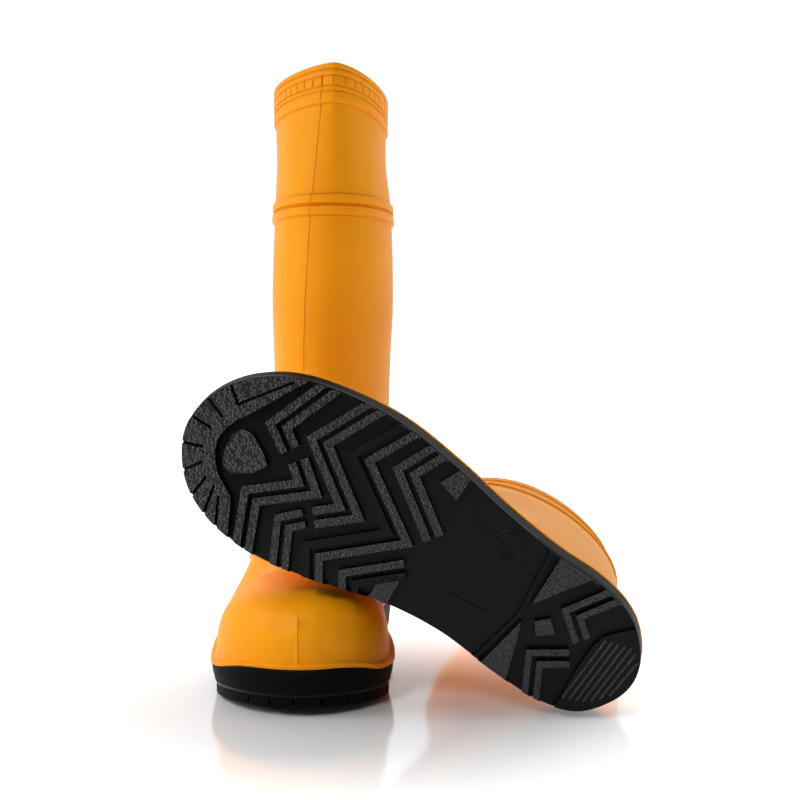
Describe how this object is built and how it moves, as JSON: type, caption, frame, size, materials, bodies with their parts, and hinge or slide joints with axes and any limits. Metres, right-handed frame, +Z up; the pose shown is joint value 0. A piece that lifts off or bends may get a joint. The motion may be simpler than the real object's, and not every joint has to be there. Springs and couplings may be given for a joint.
{
  "type": "pair of moulded safety wellington boots",
  "caption": "Pair of tall moulded boots with black cleated outsoles, steel toe caps and lift-out insoles, one standing and one lying on its side.",
  "frame": {"origin": "on the floor under the back of the standing boot's heel", "axes": "+Z up, the standing boot's toe towards -Y and 3.45 degrees towards -X, the lying boot's shaft towards +Y"},
  "size_m": [0.3056, 0.4125, 0.4041],
  "materials": {
    "orange_pvc": "satin moulded PVC",
    "black_pvc": "satin, pebbled lug faces",
    "filler": "matt",
    "steel": "lacquered",
    "fibreboard": "pressed fibre",
    "knit": "tricot knit",
    "foam": "closed-cell foam",
    "felt": "needled felt"
  },
  "bodies": {
    "right_boot": {"right_outsole": "black_pvc", "right_heel_core": "filler", "right_upper": "orange_pvc", "right_toe_cap": "steel", "right_toe_cap_edge": "filler", "right_puncture_plate": "steel", "right_insole_board": "fibreboard", "right_lining": "knit"},
    "right_insole": {"right_insole_foam": "foam", "right_insole_cover": "felt"},
    "left_boot": {"left_outsole": "black_pvc", "left_heel_core": "filler", "left_upper": "orange_pvc", "left_toe_cap": "steel", "left_toe_cap_edge": "filler", "left_puncture_plate": "steel", "left_insole_board": "fibreboard", "left_lining": "knit"},
    "left_insole": {"left_insole_foam": "foam", "left_insole_cover": "felt"}
  },
  "joints": [
    {"name": "left_boot_lift", "type": "slide", "parent": "right_boot", "child": "left_boot", "axis": [0, 0, 1], "range_m": [0, 0.25]},
    {"name": "right_insole_lift", "type": "hinge", "parent": "right_boot", "child": "right_insole", "pos_m": [-0.01658, -0.275, 0.0216], "axis": [0.9982, -0.0602, 0], "range_deg": [0, 6]},
    {"name": "left_insole_lift", "type": "hinge", "parent": "left_boot", "child": "left_insole", "pos_m": [-0.06613, -0.25094, 0.16929], "axis": [0.5111, -0.0318, 0.8589], "range_deg": [0, 6]}
  ]
}
